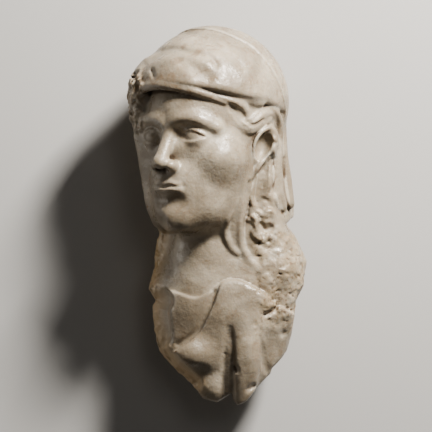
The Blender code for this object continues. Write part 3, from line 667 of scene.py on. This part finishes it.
def worn(p, f):
    """The unevenness of the old surface, its rough crust and the crystals of its breaks."""
    near = np.abs(f) < WEAR_REACH
    if not near.any():
        return f
    f = f.copy()
    q = p[near]
    y, z = q[:, 1], q[:, 2]
    wave = 0.11 * rough(q, 7, 1, 2)
    crust = np.maximum(crust_mask(q), 0.7 * near_curls(q))
    pits = step(0.25, 0.6, noise(q, 1.4, 2)) * 0.55 + 0.4 * rough(q, 2, 3, 2) + 0.5 * noise(q, 5, 1)
    facets = 3.2 * np.abs(noise(q, 4.2, 5)) + 2.0 * np.abs(noise(q, 2.2, 0)) - 1.2
    rim = step(5, 1.5, from_left_edge(q)) * step(6, 0, y)
    back = step(24, 14, z)
    crystals = 0.45 * rough(q, 2.2, 4, 2)
    f[near] += wave + crust * pits * 0.75 + far_curls(q) * facets + rim * crystals + back * crystals * 0.8
    return f


def finished(p):
    f = worn(p, broken(p, fine(p, carved(p))))
    return np.maximum(f, FLOOR - p[:, 2])


# Meshing

BAND_VOXELS = 3
CUBES_TOGETHER = 4
COARSE_PARTS = 16


def cells(counts):
    """Whole-numbered places of the cells of a grid, one row each."""
    return np.stack(np.meshgrid(*[np.arange(n) for n in counts], indexing="ij"), -1).reshape(-1, 3)


def carved_mesh(form):
    """Meshes the carved surface, evaluating the form only in small cubes that the surface runs through."""
    voxel = VOXEL
    low = np.array(GRID_LOW)
    count = np.ceil((np.array(GRID_HIGH) - low) / voxel / CUBE).astype(int)
    cubes = cells(count)
    centres = (low + (cubes + 0.5) * CUBE * voxel).astype(np.float32)
    coarse = np.concatenate([form(some) for some in np.array_split(centres, COARSE_PARTS)])
    near_surface = CUBE * voxel * 1.3 + 2.5
    crossed = cubes[np.abs(coarse) < near_surface]
    order = np.lexsort((crossed // CUBES_TOGETHER).T)
    crossed = crossed[order]
    starts = np.flatnonzero(np.any(np.diff(crossed // CUBES_TOGETHER, axis=0) != 0, axis=1)) + 1
    band = BAND_VOXELS * voxel
    values = np.sign(coarse).reshape(count) * band
    for axis in range(3):
        values = np.repeat(values, CUBE, axis)
    values = np.ascontiguousarray(values, np.float32)
    inner = cells([CUBE] * 3)

    def fill(group):
        at = (group[:, None, :] * CUBE + inner).reshape(-1, 3)
        found = form((low + at * voxel).astype(np.float32))
        values[at[:, 0], at[:, 1], at[:, 2]] = np.clip(found, -band, band)

    with ThreadPoolExecutor() as pool:
        list(pool.map(fill, np.split(crossed, starts)))
    grid = openvdb.FloatGrid(band)
    grid.copyFromArray(values)
    points, triangles, quads = grid.convertToPolygons(isovalue=0.0)
    points = (low + np.asarray(points) * voxel) * UNIT
    faces = np.asarray(triangles).tolist() + np.asarray(quads).tolist()
    mesh = bpy.data.meshes.new(PIECE)
    mesh.from_pydata(points.tolist(), [], faces)
    mesh.update()
    return mesh


# The piece: its mesh, its place and what the finish needs to know at each point

HOLLOW_REACHES = (0.9, 1.8, 3.6)
OPEN_SHARE = 0.84
RIDGE_DEPTH = 1.2
THREAD_PARTS = 64


def points_of(mesh):
    co = np.empty(len(mesh.vertices) * 3, np.float32)
    mesh.vertices.foreach_get("co", co)
    return co.reshape(-1, 3)


def normals_of(mesh):
    found = np.empty(len(mesh.vertices) * 3, np.float32)
    mesh.vertex_normals.foreach_get("vector", found)
    return found.reshape(-1, 3)


def in_threads(form, points):
    with ThreadPoolExecutor() as pool:
        return np.concatenate(list(pool.map(form, np.array_split(points, THREAD_PARTS))))


def thin_out(body, triangles):
    body.data.calc_loop_triangles()
    count = len(body.data.loop_triangles)
    if count <= triangles:
        return
    modifier = body.modifiers.new("Thin out", "DECIMATE")
    modifier.ratio = triangles / count
    graph = bpy.context.evaluated_depsgraph_get()
    mesh = bpy.data.meshes.new_from_object(body.evaluated_get(graph))
    body.modifiers.clear()
    body.data = mesh


def level_back(mesh):
    """Puts the points of the cut back exactly level."""
    points = points_of(mesh)
    level = (FLOOR + FLAT_CUT) * UNIT
    points[:, 2] = np.maximum(points[:, 2], level)
    mesh.vertices.foreach_set("co", points.ravel())


def note(mesh, name, values):
    attribute = mesh.attributes.new(name, "FLOAT", "POINT")
    attribute.data.foreach_set("value", np.clip(values, 0, 1).astype(np.float32))


def note_surface(mesh):
    """Notes the hollows, ridges and breaks, for dirt with painted shade in the hollows, for wear and for
    fresh stone.
    """
    points = points_of(mesh) / UNIT
    outward = normals_of(mesh)
    # How closed in each point is, from the clearance along its outward normal; the finish darkens these
    # hollows brown, partly as dirt and partly as painted shade.
    hollow = 0
    for reach in HOLLOW_REACHES:
        clear = in_threads(finished, points + outward * reach)
        hollow = hollow + np.clip(1 - clear / (OPEN_SHARE * reach), 0, 1) / len(HOLLOW_REACHES)
    note(mesh, "hollow", hollow)
    buried = in_threads(finished, points - outward * RIDGE_DEPTH)
    note(mesh, "ridge", 1 + buried / 1.1)
    whole = in_threads(carved, points)
    y = points[:, 1]
    note(mesh, "broken", step(0.6, 1.5, -whole) * step(6, 2, y))
    # The thin left edge, which the finish tints amber as a painted glow of light shining through the stone.
    note(mesh, "thin", step(9, 1, from_left_edge(points)) * step(3, -3, y))
    curls = np.maximum(far_curls(points), near_curls(points))
    note(mesh, "crust", np.maximum(crust_mask(points), 0.7 * curls))
    note(mesh, "cap", step(61, 66, to_head(points)[:, 1]))


def carve():
    mesh = carved_mesh(finished)
    body = bpy.data.objects.new(PIECE, mesh)
    bpy.context.scene.collection.objects.link(body)
    thin_out(body, TRIANGLES)
    level_back(body.data)
    note_surface(body.data)
    body.data.shade_smooth()
    points = points_of(body.data)
    low, high = points.min(axis=0), points.max(axis=0)
    frame_low, frame_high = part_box(CAD_NODE)
    middle = (frame_low + frame_high) / 2 - Vector((low + high) / 2)
    shift = Vector((middle.x, middle.y, frame_low.z - low[2]))
    body.data.transform(Matrix.Translation(shift))
    return body, shift


# Finish

def add(tree, kind, values=(), **settings):
    """A node with its settings and input values; a value that is a socket is linked."""
    node = tree.nodes.new(kind)
    for name, value in settings.items():
        setattr(node, name, value)
    for name, value in dict(values).items():
        if isinstance(value, bpy.types.NodeSocket):
            tree.links.new(value, node.inputs[name])
        else:
            node.inputs[name].default_value = value
    return node


def blend_colour(tree, share, first, second):
    node = add(tree, "ShaderNodeMix", data_type="RGBA")
    for socket, value in ((node.inputs[0], share), (node.inputs[6], first), (node.inputs[7], second)):
        if isinstance(value, bpy.types.NodeSocket):
            tree.links.new(value, socket)
        else:
            socket.default_value = value
    return node.outputs[2]


def maths(tree, operation, *values, clamp=False):
    node = add(tree, "ShaderNodeMath", operation=operation, use_clamp=clamp)
    for socket, value in zip(node.inputs, values):
        if isinstance(value, bpy.types.NodeSocket):
            tree.links.new(value, socket)
        else:
            socket.default_value = value
    return node.outputs[0]


def ramp(tree, value, low, high):
    """0 below low, 1 above high, smooth in between."""
    node = add(tree, "ShaderNodeMapRange", {"Value": value, "From Min": low, "From Max": high},
               interpolation_type="SMOOTHSTEP")
    return node.outputs[0]


def grain(tree, place, scale, detail=4.0, roughness=0.55, distortion=0.0):
    node = add(tree, "ShaderNodeTexNoise", {"Vector": place, "Scale": scale, "Detail": detail,
                                            "Roughness": roughness, "Distortion": distortion})
    return node.outputs["Fac"]


def noted(tree, name):
    return add(tree, "ShaderNodeAttribute", attribute_name=name).outputs["Fac"]


DARK_STONE = (0.25, 0.205, 0.15, 1)
PALE_STONE = (0.42, 0.36, 0.28, 1)
VEIN_BROWN = (0.20, 0.135, 0.08, 1)
STAIN_BROWN = (0.17, 0.10, 0.05, 1)
WORN_STONE = (0.56, 0.52, 0.44, 1)
FRESH_STONE = (0.50, 0.44, 0.36, 1)
# Amber for the painted glow of light shining through the thin left edge.
PAINTED_GLOW_AMBER = (0.62, 0.42, 0.20, 1)
CRUST_BROWN = (0.31, 0.235, 0.145, 1)
SPECK_BROWN = (0.15, 0.095, 0.055, 1)
# Dark brown for the hollows: partly dirt, partly painted shade.
DIRT_AND_SHADE_BROWN = (0.09, 0.055, 0.028, 1)


def scaled(tree, value, share):
    return maths(tree, "MULTIPLY", value, share)


def marble():
    material = bpy.data.materials.new("Old marble")
    material.use_nodes = True
    tree = material.node_tree
    shader = tree.nodes["Principled BSDF"]
    place = add(tree, "ShaderNodeTexCoord").outputs["Object"]
    fresh = noted(tree, "broken")
    crust = noted(tree, "crust")
    speck = grain(tree, place, 230, 6, 0.72, 0.3)
    mottle = grain(tree, place, 90, 6, 0.68, 0.8)
    crusted = maths(tree, "MULTIPLY", crust, ramp(tree, mottle, 0.42, 0.58))
    # Darkening in the hollows, with fine specks: partly dirt, partly painted shade in the creases and
    # recesses.
    dirt_and_shade = maths(tree, "ADD", noted(tree, "hollow"), scaled(tree, maths(tree, "SUBTRACT", speck, 0.5), 0.4))
    dirt_and_shade = ramp(tree, dirt_and_shade, 0.14, 0.62)

    cloud = grain(tree, place, 26, 5, 0.6, 0.4)
    stone = blend_colour(tree, ramp(tree, cloud, 0.36, 0.66), DARK_STONE, PALE_STONE)
    vein = grain(tree, place, 60, 6, 0.7, 1.6)
    stained = maths(tree, "MULTIPLY", ramp(tree, mottle, 0.50, 0.64), noted(tree, "cap"))
    specks = maths(tree, "MULTIPLY", crust, ramp(tree, speck, 0.54, 0.62))
    for mask, share, tint in (
        (ramp(tree, vein, 0.52, 0.66), 0.40, VEIN_BROWN),
        (stained, 0.45, STAIN_BROWN),
        (ramp(tree, noted(tree, "ridge"), 0.12, 0.5), 0.45, WORN_STONE),
        (fresh, 0.5, FRESH_STONE),
        # painted glow of light shining through the thin left edge
        (noted(tree, "thin"), 0.55, PAINTED_GLOW_AMBER),
        (crusted, 0.6, CRUST_BROWN),
        (specks, 0.7, SPECK_BROWN),
        # painted shade and dirt darken the hollows
        (dirt_and_shade, 0.85, DIRT_AND_SHADE_BROWN),
    ):
        stone = blend_colour(tree, scaled(tree, mask, share), stone, tint)
    tree.links.new(stone, shader.inputs["Base Color"])

    gloss = grain(tree, place, 110, 4, 0.6)
    roughness = maths(tree, "ADD", 0.24, scaled(tree, ramp(tree, gloss, 0.35, 0.7), 0.26))
    roughness = maths(tree, "ADD", roughness, scaled(tree, dirt_and_shade, 0.4))
    roughness = maths(tree, "ADD", roughness, scaled(tree, crusted, 0.2))
    roughness = maths(tree, "ADD", roughness, scaled(tree, fresh, 0.1), clamp=True)
    tree.links.new(roughness, shader.inputs["Roughness"])
    shader.inputs["IOR"].default_value = 1.55
    shader.inputs["Subsurface Weight"].default_value = 0.20
    shader.inputs["Subsurface Radius"].default_value = (1.0, 0.6, 0.3)
    shader.inputs["Subsurface Scale"].default_value = 0.004

    pits = add(tree, "ShaderNodeTexVoronoi", {"Vector": place, "Scale": 240.0}).outputs["Distance"]
    pits = maths(tree, "MULTIPLY", ramp(tree, pits, 0.0, 0.28), ramp(tree, speck, 0.35, 0.6))
    height = maths(tree, "ADD", scaled(tree, grain(tree, place, 420, 5, 0.6), 0.5), scaled(tree, pits, 0.35))
    height = maths(tree, "ADD", height, scaled(tree, grain(tree, place, 130, 3, 0.5), 1.6))
    bump = add(tree, "ShaderNodeBump", {"Strength": 0.5, "Distance": 0.0006, "Height": height})
    tree.links.new(bump.outputs["Normal"], shader.inputs["Normal"])
    return material


def plain(name, colour, roughness):
    material = bpy.data.materials.new(name)
    material.use_nodes = True
    shader = material.node_tree.nodes["Principled BSDF"]
    shader.inputs["Base Color"].default_value = (*colour, 1)
    shader.inputs["Roughness"].default_value = roughness
    return material


# Setting: a pale floor, soft lights and a camera above the lying head

FLOOR_REACH = 3.0
PICTURE_CENTRE = (2.93, 7.8)
PICTURE_WIDTH = 0.3438
CAMERA_HEIGHT = 3.4
FACE_LEVEL = 0.065
LIGHT_AIM = (0, 0.03, 0.06)
WARM_WHITE = (1.0, 0.97, 0.92)
SKY_WHITE = (1.0, 0.98, 0.95)
ROOM_COLOUR = (1.0, 0.97, 0.94, 1)
ROOM_STRENGTH = 0.06


def area_light(name, place, size, power, colour):
    data = bpy.data.lights.new(name, "AREA")
    data.size = size
    data.energy = power
    data.color = colour
    light = bpy.data.objects.new(name, data)
    light.location = place
    light.rotation_euler = (Vector(LIGHT_AIM) - Vector(place)).to_track_quat("-Z", "Y").to_euler()
    bpy.context.scene.collection.objects.link(light)


def lay_floor():
    mesh = bpy.data.meshes.new("floor")
    corners = [(x * FLOOR_REACH, y * FLOOR_REACH, 0) for x, y in ((-1, -1), (1, -1), (1, 1), (-1, 1))]
    mesh.from_pydata(corners, [], [(0, 1, 2, 3)])
    floor = bpy.data.objects.new("floor", mesh)
    bpy.context.scene.collection.objects.link(floor)
    floor.data.materials.append(plain("Pale floor", (0.48, 0.47, 0.455), 0.8))


def look_down(shift):
    """A long lens straight above the lying head, framed as in the photograph."""
    data = bpy.data.cameras.new("camera")
    data.lens = data.sensor_width * (CAMERA_HEIGHT - FACE_LEVEL) / PICTURE_WIDTH
    camera = bpy.data.objects.new("camera", data)
    centre_x, centre_y = PICTURE_CENTRE
    camera.location = (centre_x * UNIT + shift.x, centre_y * UNIT + shift.y, CAMERA_HEIGHT)
    bpy.context.scene.collection.objects.link(camera)
    bpy.context.scene.camera = camera


def light_room():
    world = bpy.data.worlds.new("Studio")
    bpy.context.scene.world = world
    world.use_nodes = True
    background = world.node_tree.nodes["Background"]
    background.inputs["Color"].default_value = ROOM_COLOUR
    background.inputs["Strength"].default_value = ROOM_STRENGTH


body, shift = carve()
body.data.materials.clear()
body.data.materials.append(marble())
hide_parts(CAD_NODE)
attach(body, "root")
lay_floor()
look_down(shift)
area_light("key", (0.54, 0.84, 0.72), 0.24, 40, WARM_WHITE)
area_light("left", (-0.80, -0.05, 0.04), 0.14, 1.0, WARM_WHITE)
area_light("above", (0.3, 0.3, 1.4), 0.4, 1.0, SKY_WHITE)
bpy.context.scene.view_settings.look = "AgX - Medium High Contrast"
light_room()
